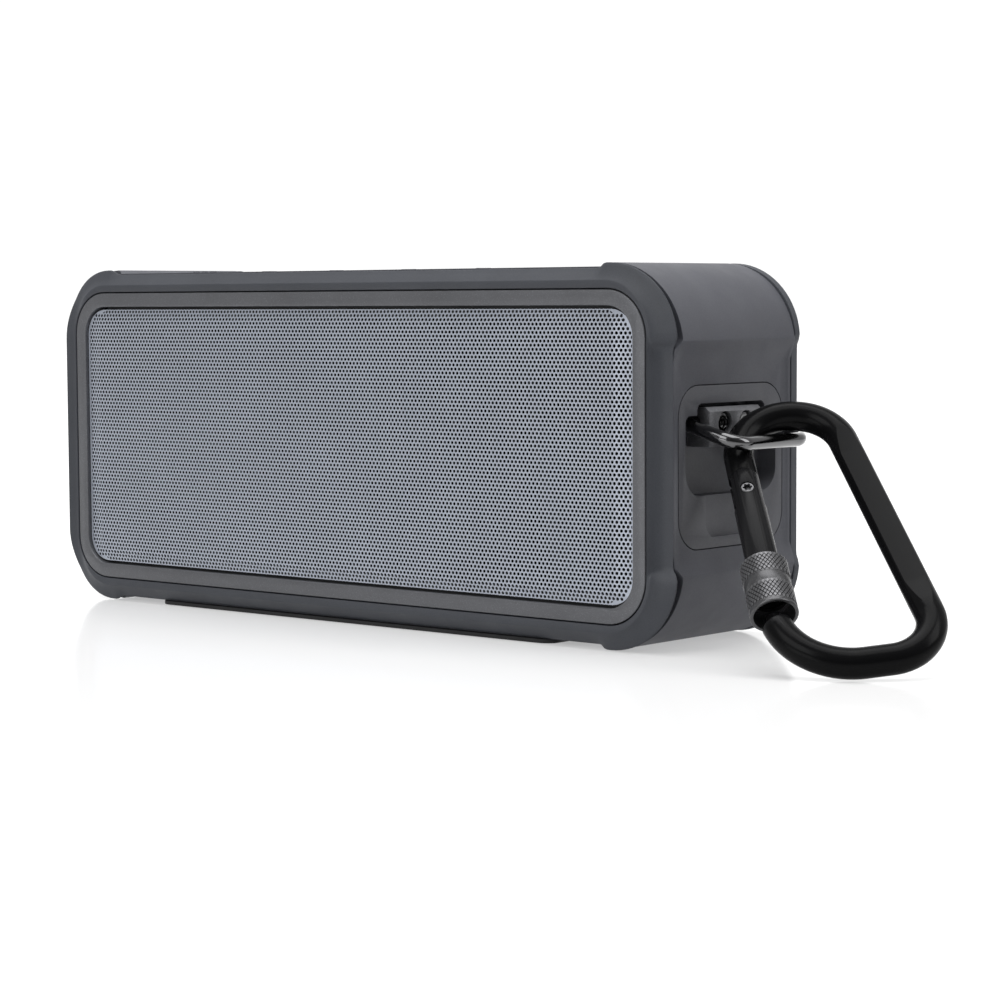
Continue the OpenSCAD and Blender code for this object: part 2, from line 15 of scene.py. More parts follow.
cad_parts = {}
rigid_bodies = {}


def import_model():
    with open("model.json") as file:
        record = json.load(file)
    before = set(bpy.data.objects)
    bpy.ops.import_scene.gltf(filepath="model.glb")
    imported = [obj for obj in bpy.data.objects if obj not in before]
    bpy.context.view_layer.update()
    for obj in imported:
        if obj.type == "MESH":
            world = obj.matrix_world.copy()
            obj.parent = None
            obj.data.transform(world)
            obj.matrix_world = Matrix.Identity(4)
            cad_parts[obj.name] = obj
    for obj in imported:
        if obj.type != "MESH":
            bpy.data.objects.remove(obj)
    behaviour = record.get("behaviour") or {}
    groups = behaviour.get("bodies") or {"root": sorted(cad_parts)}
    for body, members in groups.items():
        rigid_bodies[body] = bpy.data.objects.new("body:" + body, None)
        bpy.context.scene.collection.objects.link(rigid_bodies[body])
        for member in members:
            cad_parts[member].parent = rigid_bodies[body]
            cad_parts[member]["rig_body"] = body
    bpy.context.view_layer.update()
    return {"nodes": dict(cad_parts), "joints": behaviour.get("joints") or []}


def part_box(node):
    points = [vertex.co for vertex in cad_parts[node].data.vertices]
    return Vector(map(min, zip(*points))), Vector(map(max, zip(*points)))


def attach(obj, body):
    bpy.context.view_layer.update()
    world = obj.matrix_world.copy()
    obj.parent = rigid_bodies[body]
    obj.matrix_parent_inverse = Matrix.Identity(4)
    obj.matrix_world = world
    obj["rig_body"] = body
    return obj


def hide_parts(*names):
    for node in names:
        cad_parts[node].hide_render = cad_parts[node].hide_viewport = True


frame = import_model()
MM = 0.001
NODES = frame["nodes"]
JOINTS = {j["name"]: j for j in frame["joints"]}
SLOT_OF = {name: node.data.materials[0].name for name, node in NODES.items()}
SLOT_OF["bracket_screws"] = "bail_wire"      # blackened, unlike the screws behind
for imported in list(bpy.data.materials):
    bpy.data.materials.remove(imported)


def box_mm(node):
    """Lowest and highest corner of a CAD node, in millimetres."""
    low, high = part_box(node)
    return low / MM, high / MM


# ---------- places taken from the frame ----------

SLEEVE_LOW, SLEEVE_HIGH = box_mm("body_sleeve")
GRILLE_LOW, GRILLE_HIGH = box_mm("front_grille")
MIDDLE = (SLEEVE_LOW.z + SLEEVE_HIGH.z) / 2      # height of the body centre
FRONT = box_mm("front_bumper")[0].y              # front face


# ---------- camera and studio ----------

CAMERA_AT = (0.4103, -0.4440, 0.0711)
CAMERA_YAW, CAMERA_DIP, CAMERA_ROLL = -40.99, 4.38, -0.32
LENS_MM, SENSOR_MM = 96.8, 36.0
SHIFT_X, SHIFT_Y = 0.0114, 0.0039    # shift of the lens, as shares of the picture
NEAREST = 0.01                       # clipping distance


def add_camera():
    yaw, dip, roll = (math.radians(a) for a in (CAMERA_YAW, CAMERA_DIP, CAMERA_ROLL))
    ahead = Vector((math.sin(yaw) * math.cos(dip), math.cos(yaw) * math.cos(dip), -math.sin(dip)))
    right = Vector((math.cos(yaw), -math.sin(yaw), 0))
    up = right.cross(ahead)
    side = math.cos(roll) * right + math.sin(roll) * up
    top = math.cos(roll) * up - math.sin(roll) * right
    turn = Matrix((side, top, -ahead)).transposed().to_4x4()
    data = bpy.data.cameras.new("camera")
    data.lens, data.sensor_width = LENS_MM, SENSOR_MM
    data.shift_x, data.shift_y = SHIFT_X, SHIFT_Y
    data.clip_start = NEAREST
    camera = bpy.data.objects.new("camera", data)
    camera.matrix_world = Matrix.Translation(CAMERA_AT) @ turn
    bpy.context.scene.collection.objects.link(camera)
    bpy.context.scene.camera = camera


def add_softbox(name, at, towards, width, height, power):
    data = bpy.data.lights.new(name, "AREA")
    data.shape, data.size, data.size_y, data.energy = "RECTANGLE", width, height, power
    light = bpy.data.objects.new(name, data)
    aim = (Vector(towards) - Vector(at)).to_track_quat("-Z", "Y")
    light.matrix_world = Matrix.Translation(at) @ aim.to_matrix().to_4x4()
    bpy.context.scene.collection.objects.link(light)


SOFTBOXES = (                        # place, width, height, watts
    ("left_softbox", (-0.15, -1.20, 0.85), 0.8, 0.8, 6.20),
    ("right_softbox", (1.00, 0.35, 0.75), 0.5, 0.9, 4.60),
    ("top_softbox", (0.0, 0.0, 1.2), 1.2, 0.9, 9.6),
    ("front_softbox", (-0.20, -1.30, 0.12), 0.8, 0.2, 1.20),
    ("back_softbox", (-0.3, 1.1, 0.7), 0.8, 0.8, 0.65),
)
LIGHTS_AIM = (0, 0, 0.04)            # the point that all softboxes face
SKY_AHEAD = (-0.654, 0.753, -0.076)  # the way the camera of the photo looks
SKY = ((0.0, 0.085), (0.62, 0.50), (0.90, 0.66), (0.955, 1.06))    # grey, from behind it to ahead
FLOOR_REACH = 6.0
FLOOR_GLOW, FLOOR_WHITE = 0.38, 0.72
FLOOR_ROUGH, FLOOR_SHINE = 0.12, 0.12


def add_studio():
    """White sweep behind, darker room in front, and softboxes."""
    world = bpy.data.worlds.new("studio")
    bpy.context.scene.world = world
    world.use_nodes = True
    tree = world.node_tree
    sky = tree.nodes["Background"]
    place = tree.nodes.new("ShaderNodeTexCoord")
    facing = tree.nodes.new("ShaderNodeVectorMath")
    facing.operation = "DOT_PRODUCT"
    facing.inputs[1].default_value = SKY_AHEAD
    ramp = tree.nodes.new("ShaderNodeValToRGB")
    stops = ramp.color_ramp.elements
    for spot, value in SKY[1:-1]:
        stops.new(spot)
    for stop, (spot, value) in zip(stops, SKY):
        stop.position, stop.color = spot, (value, value, value, 1)
    shift = tree.nodes.new("ShaderNodeMapRange")
    shift.inputs["From Min"].default_value = -1.0
    tree.links.new(place.outputs["Generated"], facing.inputs[0])
    tree.links.new(facing.outputs["Value"], shift.inputs["Value"])
    tree.links.new(shift.outputs["Result"], ramp.inputs["Fac"])
    tree.links.new(ramp.outputs["Color"], sky.inputs["Color"])
    for name, at, width, height, power in SOFTBOXES:
        add_softbox(name, at, LIGHTS_AIM, width, height, power)
    bpy.context.scene.view_settings.view_transform = "Standard"


def add_floor():
    floor = bpy.data.meshes.new("floor")
    corners = [(sx * FLOOR_REACH, sy * FLOOR_REACH, 0) for sx, sy in ((-1, -1), (1, -1), (1, 1), (-1, 1))]
    floor.from_pydata(corners, [], [(0, 1, 2, 3)])
    floor_object = bpy.data.objects.new("floor", floor)
    bpy.context.scene.collection.objects.link(floor_object)
    white = bpy.data.materials.new("floor_white")
    white.use_nodes = True
    shader = white.node_tree.nodes["Principled BSDF"]
    shader.inputs["Base Color"].default_value = (FLOOR_WHITE, FLOOR_WHITE, FLOOR_WHITE, 1)
    shader.inputs["Roughness"].default_value = FLOOR_ROUGH
    shader.inputs["Specular IOR Level"].default_value = FLOOR_SHINE
    shader.inputs["Emission Color"].default_value = (1, 1, 1, 1)
    shader.inputs["Emission Strength"].default_value = FLOOR_GLOW
    floor.materials.append(white)
    floor_object.visible_diffuse = False     # keeps the underside as dark as in the photo


# ---------- materials ----------

CLOUD_SIZE, SHEEN_SIZE, FLAKE_SIZE = 18, 6, 0.16     # patches of tone and of roughness, flakes, in mm
NOISE_SPAN = (0.3, 0.7)              # the values that a noise mostly takes
FLAKE_SPAN = (0.82, 1.0)             # the cells that shine
LIGHTENED_EDGE_SPAN = (0.53, 0.62)             # pointiness of the edges that are lightened, partly as wear and partly as a painted highlight
COAT_ROUGH = 0.15


def finish(name, colour, rough, metal=0.0, grain=0.3, depth=0.01, tone=0.08, vary=0.06,
           specular=0.5, coat=0.0, speck=0.0, wear_and_highlight=0.0):
    """Procedural finish. grain and depth are the size and height of its surface grain in millimetres,
    tone the share by which its colour wanders and vary the amount by which its roughness does,
    speck adds bright flakes, and the last setting lightens convex edges, partly as wear and partly as a
    painted highlight."""
    made = bpy.data.materials.new(name)
    made.use_nodes = True
    tree = made.node_tree
    shader = tree.nodes["Principled BSDF"]
    shader.inputs["Metallic"].default_value = metal
    shader.inputs["Specular IOR Level"].default_value = specular
    shader.inputs["Coat Weight"].default_value = coat
    shader.inputs["Coat Roughness"].default_value = COAT_ROUGH
    place = tree.nodes.new("ShaderNodeTexCoord")

    def noise(size_mm, detail):
        node = tree.nodes.new("ShaderNodeTexNoise")
        node.inputs["Scale"].default_value = 1 / (size_mm * MM)
        node.inputs["Detail"].default_value = detail
        tree.links.new(place.outputs["Object"], node.inputs["Vector"])
        return node.outputs["Fac"]

    def remap(value, low, high, span=NOISE_SPAN):
        node = tree.nodes.new("ShaderNodeMapRange")
        for socket, number in zip(("From Min", "From Max", "To Min", "To Max"), (*span, low, high)):
            node.inputs[socket].default_value = number
        tree.links.new(value, node.inputs["Value"])
        return node.outputs["Result"]

    def scaled(value, colour_in):
        node = tree.nodes.new("ShaderNodeVectorMath")
        node.operation = "SCALE"
        if isinstance(colour_in, tuple):
            node.inputs[0].default_value = colour_in
        else:
            tree.links.new(colour_in, node.inputs[0])
        tree.links.new(value, node.inputs["Scale"])
        return node.outputs["Vector"]

    fine = noise(grain, 2)
    shade = scaled(remap(noise(CLOUD_SIZE, 3), 1 - tone, 1 + tone), colour)
    shade = scaled(remap(fine, 1 - tone, 1 + tone), shade)
    if speck:
        flakes = tree.nodes.new("ShaderNodeTexVoronoi")
        flakes.inputs["Scale"].default_value = 1 / (FLAKE_SIZE * MM)
        tree.links.new(place.outputs["Object"], flakes.inputs["Vector"])
        parts = tree.nodes.new("ShaderNodeSeparateColor")
        tree.links.new(flakes.outputs["Color"], parts.inputs["Color"])
        shade = scaled(remap(parts.outputs["Red"], 1.0, 1.0 + speck, FLAKE_SPAN), shade)
    # painted highlight and wear: convex edges are lightened by their pointiness
    if wear_and_highlight:
        edges = tree.nodes.new("ShaderNodeNewGeometry")
        shade = scaled(remap(edges.outputs["Pointiness"], 1.0, 1.0 + wear_and_highlight, LIGHTENED_EDGE_SPAN), shade)
    tree.links.new(shade, shader.inputs["Base Color"])
    tree.links.new(remap(noise(SHEEN_SIZE, 4), rough - vary, rough + vary), shader.inputs["Roughness"])
    bump = tree.nodes.new("ShaderNodeBump")
    bump.inputs["Strength"].default_value = 1.0
    bump.inputs["Distance"].default_value = depth * MM
    tree.links.new(fine, bump.inputs["Height"])
    tree.links.new(bump.outputs["Normal"], shader.inputs["Normal"])
    return made


LOOKS = {
    "bumper_rubber": dict(colour=(0.062, 0.067, 0.080), rough=0.56, grain=0.25, depth=0.006),
    "sleeve_rubber": dict(colour=(0.097, 0.100, 0.117), rough=0.60, grain=0.25, depth=0.006),
    "bezel_paint": dict(colour=(0.141, 0.144, 0.155), rough=0.42, metal=0.35, grain=0.22, depth=0.010,
                        tone=0.06, speck=0.35),
    "grille_paint": dict(colour=(0.540, 0.580, 0.665), rough=0.38, metal=0.35, grain=0.3, depth=0.002,
                         tone=0.03, vary=0.03),
    "cloth": dict(colour=(0.010, 0.010, 0.011), rough=0.95, grain=0.4, depth=0.05, specular=0.1),
    "black_plastic": dict(colour=(0.014, 0.014, 0.016), rough=0.50, grain=0.35, depth=0.02),
    "plate_plastic": dict(colour=(0.094, 0.096, 0.109), rough=0.52, grain=0.3, depth=0.012),
    "seal_rubber": dict(colour=(0.012, 0.012, 0.013), rough=0.7, grain=0.3, depth=0.01),
    "basket_paint": dict(colour=(0.02, 0.02, 0.022), rough=0.5, grain=0.4, depth=0.02),
    "ferrite": dict(colour=(0.05, 0.05, 0.055), rough=0.62, grain=0.2, depth=0.02),
    "plated_steel": dict(colour=(0.42, 0.43, 0.45), rough=0.28, metal=1.0, grain=0.15, depth=0.002,
                         wear_and_highlight=0.3),
    "cone_paper": dict(colour=(0.16, 0.16, 0.17), rough=0.8, grain=0.5, depth=0.05),
    "cap_metal": dict(colour=(0.35, 0.36, 0.38), rough=0.35, metal=0.9, grain=0.1, depth=0.002),
    "battery_wrap": dict(colour=(0.05, 0.14, 0.33), rough=0.35, grain=0.8, depth=0.01),
    "circuit_board": dict(colour=(0.015, 0.10, 0.045), rough=0.4, grain=0.9, depth=0.02),
    "bracket_metal": dict(colour=(0.19, 0.192, 0.205), rough=0.42, metal=0.3, grain=0.25, depth=0.025,
                          speck=0.5),
    "bail_wire": dict(colour=(0.085, 0.085, 0.088), rough=0.10, metal=1.0, grain=0.4, depth=0.0006,
                      vary=0.03, coat=1.0),
    # the carabiner and lock finishes lighten their edges strongly, partly as wear and partly as a painted
    # highlight
    "carabiner_black": dict(colour=(0.006, 0.006, 0.0065), rough=0.23, metal=0.0, grain=0.2,
                            depth=0.0010, vary=0.03, specular=0.07, wear_and_highlight=1.5),
    "lock_black": dict(colour=(0.09, 0.09, 0.094), rough=0.34, metal=0.7, grain=0.2, depth=0.003,
                       wear_and_highlight=1.5),
}
FINISHES = {name: finish(name, **look) for name, look in LOOKS.items()}


# ---------- mesh tools ----------

WELD_GAP = 0.004                     # points nearer than this are one, in millimetres
FLAT_ANGLE = 0.6                     # faces that bend less than this are one, in degrees


def piece(name, body, slot, points_mm, faces, sharp):
    """New piece from points in millimetres, smooth except at edges sharper than the given degrees."""
    mesh = bpy.data.meshes.new(name)
    mesh.from_pydata([tuple(c * MM for c in p) for p in points_mm], [], [tuple(f) for f in faces])
    mesh.validate()
    return dress(name, mesh, body, slot, sharp)


def dress(name, mesh, body, slot, sharp):
    """The mesh as a piece with its finish, moving with the body."""
    mesh.shade_smooth()
    mesh.set_sharp_from_angle(angle=math.radians(sharp))
    mesh.materials.clear()
    mesh.materials.append(FINISHES[slot])
    made = bpy.data.objects.new(name, mesh)
    bpy.context.scene.collection.objects.link(made)
    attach(made, body)
    return made


def ring_faces(rows, columns, close_rows=False):
    """Quads between rows of a closed ring of columns."""
    faces = []
    for i in range(rows if close_rows else rows - 1):
        for j in range(columns):
            a, b = i * columns, ((i + 1) % rows) * columns
            k = (j + 1) % columns
            faces.append((a + j, a + k, b + k, b + j))
    return faces


def smooth_step(value):
    value = min(1.0, max(0.0, value))
    return value * value * (3 - 2 * value)


def body_name(node):
    return NODES[node]["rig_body"]


def soften(work, width, sharp=30.0):
    """Rounds over every edge of a bmesh that is sharper than the given degrees."""
    edges = [e for e in work.edges if len(e.link_faces) == 2
             and e.calc_face_angle(0) > math.radians(sharp)]
    bmesh.ops.bevel(work, geom=edges, offset=width * MM, segments=2, profile=0.5,
                    affect="EDGES", clamp_overlap=True, offset_type="OFFSET")


def welded(mesh):
    """The mesh as a bmesh, with the CAD model's split points joined and flat faces whole."""
    work = bmesh.new()
    work.from_mesh(mesh)
    bmesh.ops.remove_doubles(work, verts=work.verts, dist=WELD_GAP * MM)
    bmesh.ops.dissolve_limit(work, angle_limit=math.radians(FLAT_ANGLE), verts=work.verts,
                             edges=work.edges)
    return work


def baked(work, name):
    """The bmesh as a mesh; the bmesh is used up."""
    mesh = bpy.data.meshes.new(name)
    work.to_mesh(mesh)
    work.free()
    return mesh


def settle(work, name, node, sharp=40.0):
    """Makes a piece of a bmesh, standing for the CAD node."""
    made = dress(name, baked(work, name), body_name(node), SLOT_OF[node], sharp)
    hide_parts(node)


def rounded(node, width):
    """The CAD node again with its edges rounded over, standing for the node."""
    work = welded(NODES[node].data)
    soften(work, width)
    settle(work, node + "_rounded", node)


def loose(work):
    """Loose object for carving, from a bmesh."""
    made = bpy.data.objects.new("carving", baked(work, "carving"))
    bpy.context.scene.collection.objects.link(made)
    return made


def round_bar(radius, length, matrix, segments):
    """Bar for carving, along the matrix's third axis; radius and length in millimetres."""
    work = bmesh.new()
    bmesh.ops.create_cone(work, cap_ends=True, segments=segments, radius1=radius * MM,
                          radius2=radius * MM, depth=length * MM, matrix=matrix)
    return loose(work)


def block(sizes, matrix):
    """Block for carving, with its sizes in millimetres."""
    work = bmesh.new()
    bmesh.ops.create_cube(work, size=1.0, matrix=matrix @ Matrix.Diagonal((*(v * MM for v in sizes), 1)))
    return loose(work)


def carved(mesh, steps):
    """The mesh after each (operation, object) of steps; the objects are used up."""
    work = bpy.data.objects.new("carving", mesh)
    bpy.context.scene.collection.objects.link(work)
    for operation, other in steps:
        cut = work.modifiers.new("cut", "BOOLEAN")
        cut.operation, cut.object, cut.solver = operation, other, "EXACT"
    bpy.context.view_layer.update()
    graph = bpy.context.evaluated_depsgraph_get()
    result = bpy.data.meshes.new_from_object(work.evaluated_get(graph))
    for used in [work] + [other for _, other in steps]:
        bpy.data.objects.remove(used)
    return result


# ---------- shell ----------

CORNER_X, CORNER_Z = 75.5, 22.9      # centres of the bumper's corner bends, from the middle
LIP_FROM_X, LIP_FROM_Z, LIP_RISE = 72.0, 21.6, 2.4   # where the corner lips begin to rise
CORNER_STEPS, LONG_STEPS, SHORT_STEPS = 20, 60, 24


def stations():
    """Places round the body in one counter-clockwise turn: ("side", sign of x, share of the height),
    ("top", sign of z, share of the length) or ("corner", sign of x, sign of z, angle)."""
    made = []
    long_side = [CORNER_X * math.sin(t) for t in np.linspace(-math.pi / 2, math.pi / 2, LONG_STEPS)]
    short_side = [CORNER_Z * math.sin(t) for t in np.linspace(-math.pi / 2, math.pi / 2, SHORT_STEPS)]
    turns = np.linspace(0, math.pi / 2, CORNER_STEPS)[1:-1]
    made += [("side", 1, v / CORNER_Z) for v in short_side]
    made += [("corner", 1, 1, a) for a in turns]
    made += [("top", 1, -v / CORNER_X) for v in long_side]
    made += [("corner", -1, 1, math.pi / 2 - a) for a in turns]
    made += [("side", -1, -v / CORNER_Z) for v in short_side]
    made += [("corner", -1, -1, a) for a in turns]
    made += [("top", -1, v / CORNER_X) for v in long_side]
    made += [("corner", 1, -1, math.pi / 2 - a) for a in turns]
    return made


STATIONS = stations()


def station_point(station, reach_x, reach_z, centre_x, centre_z):
    """Place (x, z) of a station on an outline with this reach and these corner centres."""
    if station[0] == "side":
        return station[1] * reach_x, station[2] * centre_z
    if station[0] == "top":
        return station[2] * centre_x, station[1] * reach_z
    _, sx, sz, turn = station
    return (sx * (centre_x + (reach_x - centre_x) * math.cos(turn)),
            sz * (centre_z + (reach_z - centre_z) * math.sin(turn)))


def lip_at(x, z):
    """1 along the raised corner lips, 0 between them."""
    return (smooth_step((abs(x) - LIP_FROM_X) / LIP_RISE)
            * smooth_step((abs(z) - LIP_FROM_Z) / LIP_RISE))


BAND_X, BAND_Z = 90.5, 37.9          # reach of the bumper between its lips
LIPS = [lip_at(*station_point(s, BAND_X, BAND_Z, CORNER_X, CORNER_Z)) for s in STATIONS]
PLAIN_END_X = 91.0                   # reach of the end without lips, in -X
SLOPE_FROM, SLOPE_TO = 3, 9          # rows of the profile that form a cove on the short sides
COVE_EDGE, PLAIN_EDGE = -20.5, -21.5  # y of its outer edge, at the bail and at the plain end
COVE_BEND, PLAIN_BEND = 1.3, 3.2     # how hollow the cove is there
GROOVE_END = -20.27                  # y of the last row of the outer skin


def sideways(station):
    """1 on the short sides, 0 on the long ones."""
    if station[0] == "corner":
        return math.cos(station[3]) ** 2
    return float(station[0] == "side")


def band_ring(profile, side):
    """Closed band round the body. Each profile row is (reach in x, in z, y) between the lips, then
    the same three on a lip, then the corner centre."""
    points = []
    first, last = profile[SLOPE_FROM][0], profile[SLOPE_TO][0]
    stretch = (PLAIN_END_X - first[0]) / (last[0] - first[0]) - 1
    for row, (plain, lip, centre) in enumerate(profile):
        for station, lift in zip(STATIONS, LIPS):
            across = sideways(station)
            plain_end = across if station[0] != "top" and station[1] < 0 else 0.0
            share = lift * (1 - plain_end)
            rx, rz, y = (p + (q - p) * share for p, q in zip(plain, lip))
            run = (plain[0] - first[0]) / (last[0] - first[0])
            edge = COVE_EDGE + (PLAIN_EDGE - COVE_EDGE) * plain_end
            cove = across * (1 - share) * (side > 0 or plain_end > 0)
            if SLOPE_FROM < row <= SLOPE_TO:
                hollow = COVE_BEND + (PLAIN_BEND - COVE_BEND) * plain_end
                dip = run + hollow * run * (1 - run)
                y += (first[2] + (edge - first[2]) * dip - y) * cove
            elif row > SLOPE_TO and plain[2] < GROOVE_END:
                near = (GROOVE_END - plain[2]) / (GROOVE_END - last[2])
                y += (GROOVE_END + (edge - GROOVE_END) * near - y) * cove
            if row > SLOPE_FROM and plain[0] > first[0]:
                rx = min(rx + stretch * (plain[0] - first[0]) * plain_end, max(rx, PLAIN_END_X))
            x, z = station_point(station, rx, rz, *centre)
            points.append((max(x, -PLAIN_END_X), side * y, MIDDLE + z))
    return points


SEAT_BEND = (75.85, 23.95)           # centre of the corners of the bezel's seat
REAR_WIDER, REAR_LIP_RISE = 1.55, 0.4    # how much fuller the rear bumper and its lips are
SKIN_FROM = 13                       # first row of the lip's side towards the sleeve
REAR_LIP = ((92.22, 38.93, -20.76), (92.18, 38.90, -20.50), (92.14, 38.87, -20.15),
            (92.10, 38.84, -19.75), (92.02, 38.76, -19.60), (91.70, 38.44, -19.56))


def bumper_rows(side):
    """Profile of a bumper: seat, front strip, cove, lip and groove."""
    seat, bend = SEAT_BEND, (CORNER_X, CORNER_Z)
    back = REAR_WIDER if side < 0 else 0.0
    rise = REAR_LIP_RISE if side < 0 else 0.0
    rows = [
        ((85.75, 33.85, -19.15), (85.75, 33.85, -19.15), seat),
        ((85.75, 33.85, -22.85), (85.75, 33.85, -22.85), seat),
        ((85.82, 33.92, -22.98), (85.82, 33.92, -22.98), seat),
        ((85.95, 34.05, FRONT), (85.95, 34.05, FRONT), seat),
        ((86.70 + 2 * back, 35.35 + 1.3 * back, FRONT),
         (86.70 + 2 * back, 35.35 + 1.3 * back, FRONT), bend),
        ((86.84 + 2 * back, 35.48 + 1.3 * back, -23.01),
         (86.86 + 2 * back, 35.50 + 1.3 * back, -23.0), bend),
        ((86.98 + 2 * back, 35.60 + 1.3 * back, -22.90),
         (87.04 + 2 * back, 35.66 + 1.3 * back, -22.88), bend),
        ((87.80 + 1.6 * back, 36.20 + back, -22.38),
         (88.00 + 1.6 * back, 36.30 + back, -22.45 - 0.3 * rise), bend),
        ((88.90 + back, 36.90 + 0.6 * back, -21.75 - 0.4 * back),
         (89.30 + back, 37.10 + 0.6 * back, -22.05), bend),
        ((90.00 + 0.2 * back, 37.55 + 0.15 * back, -21.15 - 0.8 * back),
         (91.00, 38.20, -21.70 + rise), bend),
        ((90.36, 37.78, -20.98 - back), (91.95, 38.78, -21.52 + rise), bend),
        ((90.47, 37.88, -20.88 - back), (92.20, 38.92, -21.44 + rise), bend),
        ((90.50, 37.90, -20.78 - 0.9 * back), (92.28, 38.98, -21.32 + rise), bend),
        ((90.50, 37.90, -20.70), (92.20, 38.92, -21.16 + rise), bend),
        ((90.50, 37.90, -20.60), (91.90, 38.66, -20.92 + rise), bend),
        ((90.50, 37.90, -20.50), (91.20, 38.00, -20.42 + 0.6 * rise), bend),
        ((90.46, 37.86, -20.38), (90.40, 37.20, -19.90 + 0.3 * rise), bend),
        ((90.36, 37.76, -20.30), (89.90, 36.80, -19.62 + 0.1 * rise), bend),
        ((90.20, 37.60, -20.27), (89.70, 36.65, -19.55), bend),
        ((88.96, 35.90, -20.27), (88.96, 35.90, -19.55), bend),
        ((88.85, 35.78, -20.27), (88.85, 35.78, -19.30), bend),
        ((88.60, 35.50, -19.25), (88.60, 35.50, -19.25), bend),
    ]
    if side < 0:
        rows[SKIN_FROM:SKIN_FROM + len(REAR_LIP)] = [
            (plain, lip, bend) for (plain, _, _), lip in zip(rows[SKIN_FROM:], REAR_LIP)]
    return rows


def add_bumper(node, side):
    """Front bumper, or the rear one with side -1."""
    rows = bumper_rows(side)
    points = band_ring(rows, side)
    faces = ring_faces(len(rows), len(STATIONS), close_rows=True)
    if side > 0:
        faces = [f[::-1] for f in faces]
    made = piece(node + "_moulding", "housing", "bumper_rubber", points, faces, 38)
    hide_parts(node)


FRONT_GAP, REAR_GAP = 1.25, 0.7      # how far the sleeve stays back from the lips
GAP_FROM, GAP_OVER = 3, 2.5          # distance from the sleeve's end where that starts, and its run
PANEL_RIM, RIM_FROM, RIM_OVER = 0.42, 1.35, 0.7      # raised edge of the end panels
PANEL_NEAR, PANEL_X, PANEL_HALF = 89.5, 90.6, 20.5   # the panels' place in x, and half their height
CUTS_X = (72, 72.6, 73.2, 73.8, 74.4)    # places where the sleeve needs points to bend along the
CUTS_Z = (21.6, 22.2, 22.8, 23.4, 24.0)  # rise of the lips, and their distances from its ends
CUTS_Y = (GAP_FROM, 1.3, 0.9, 0.5)


def sleeve_cuts():
    """Planes (axis, place) at which the sleeve needs points."""
    cuts = [("y", s * (SLEEVE_HIGH.y - v)) for s in (-1, 1) for v in CUTS_Y]
    cuts += [("x", s * v) for s in (-1, 1) for v in CUTS_X]
    return cuts + [("z", MIDDLE + s * v) for s in (-1, 1) for v in CUTS_Z]


def add_sleeve():
    """The CAD sleeve with soft edges, standing back from the lips, its panels with a thin rim."""
    work = welded(NODES["body_sleeve"].data)
    soften(work, 0.3)
    end = SLEEVE_HIGH.y
    for axis, at in sleeve_cuts():
        normal = [float(axis == a) for a in "xyz"]
        place = [n * at * MM for n in normal]
        bmesh.ops.bisect_plane(work, geom=work.verts[:] + work.edges[:] + work.faces[:],
                               dist=1e-6, plane_co=place, plane_no=normal)
    for v in work.verts:
        x, y, z = v.co.x / MM, v.co.y / MM, v.co.z / MM - MIDDLE
        lip = lip_at(x, z)
        back = FRONT_GAP if y < 0 else REAR_GAP
        v.co.y -= math.copysign(back * lip * smooth_step((abs(y) - end + GAP_FROM) / GAP_OVER), y) * MM
        if PANEL_NEAR < abs(x) < PANEL_X and abs(z) < PANEL_HALF:
            rim = smooth_step((abs(y) - end + RIM_FROM) / RIM_OVER)
            v.co.x += math.copysign(PANEL_RIM * rim, x) * MM
    settle(work, "sleeve_moulding", "body_sleeve", 20.0)


# ---------- grille ----------

HOLE_RADIUS = 0.39
SHEET, EDGE_MARGIN = 0.16, 0.10      # thickness, and the solid edge outside the holes
EDGE_DROP, EDGE_POWER = 0.55, 1.6    # how far the edge bends back, and how roundly
HALF_X = (GRILLE_HIGH.x - GRILLE_LOW.x) / 2 + 0.45
HALF_Z = (GRILLE_HIGH.z - GRILLE_LOW.z) / 2
SHEET_CORNER, CORNER_POINTS = 5.9, 24
OUTER_HOLE = EDGE_MARGIN + HOLE_RADIUS + 0.01
HOLE_PITCH = (HALF_X - OUTER_HOLE) / round(HALF_X / 1.035)    # about 1.035, fitted to the width
ROW_PITCH = (HALF_Z - OUTER_HOLE) / round(HALF_Z / 0.865)     # about 0.865, fitted to the height
FLAT_X, FLAT_Z = 77.4, 27.25         # where the flat of the sheet ends
GRILLE_PIECES = 3


def has_room(x, z, margin):
    """True where a point lies in the sheet, at least the margin from its edge."""
    dx, dz = abs(x) - (HALF_X - SHEET_CORNER), abs(z) - (HALF_Z - SHEET_CORNER)
    if dx > 0 and dz > 0:
        return math.hypot(dx, dz) <= SHEET_CORNER - margin
    return dx <= SHEET_CORNER - margin and dz <= SHEET_CORNER - margin


def has_hole(x, z):
    return has_room(x, z, EDGE_MARGIN + HOLE_RADIUS)


def sheet_outline():
    points = []
    for sx, sz, start in ((1, 1, 0), (-1, 1, 90), (-1, -1, 180), (1, -1, 270)):
        for i in range(CORNER_POINTS + 1):
            a = math.radians(start + 90 * i / CORNER_POINTS)
            points.append((sx * (HALF_X - SHEET_CORNER) + SHEET_CORNER * math.cos(a),
                           sz * (HALF_Z - SHEET_CORNER) + SHEET_CORNER * math.sin(a)))
    return points


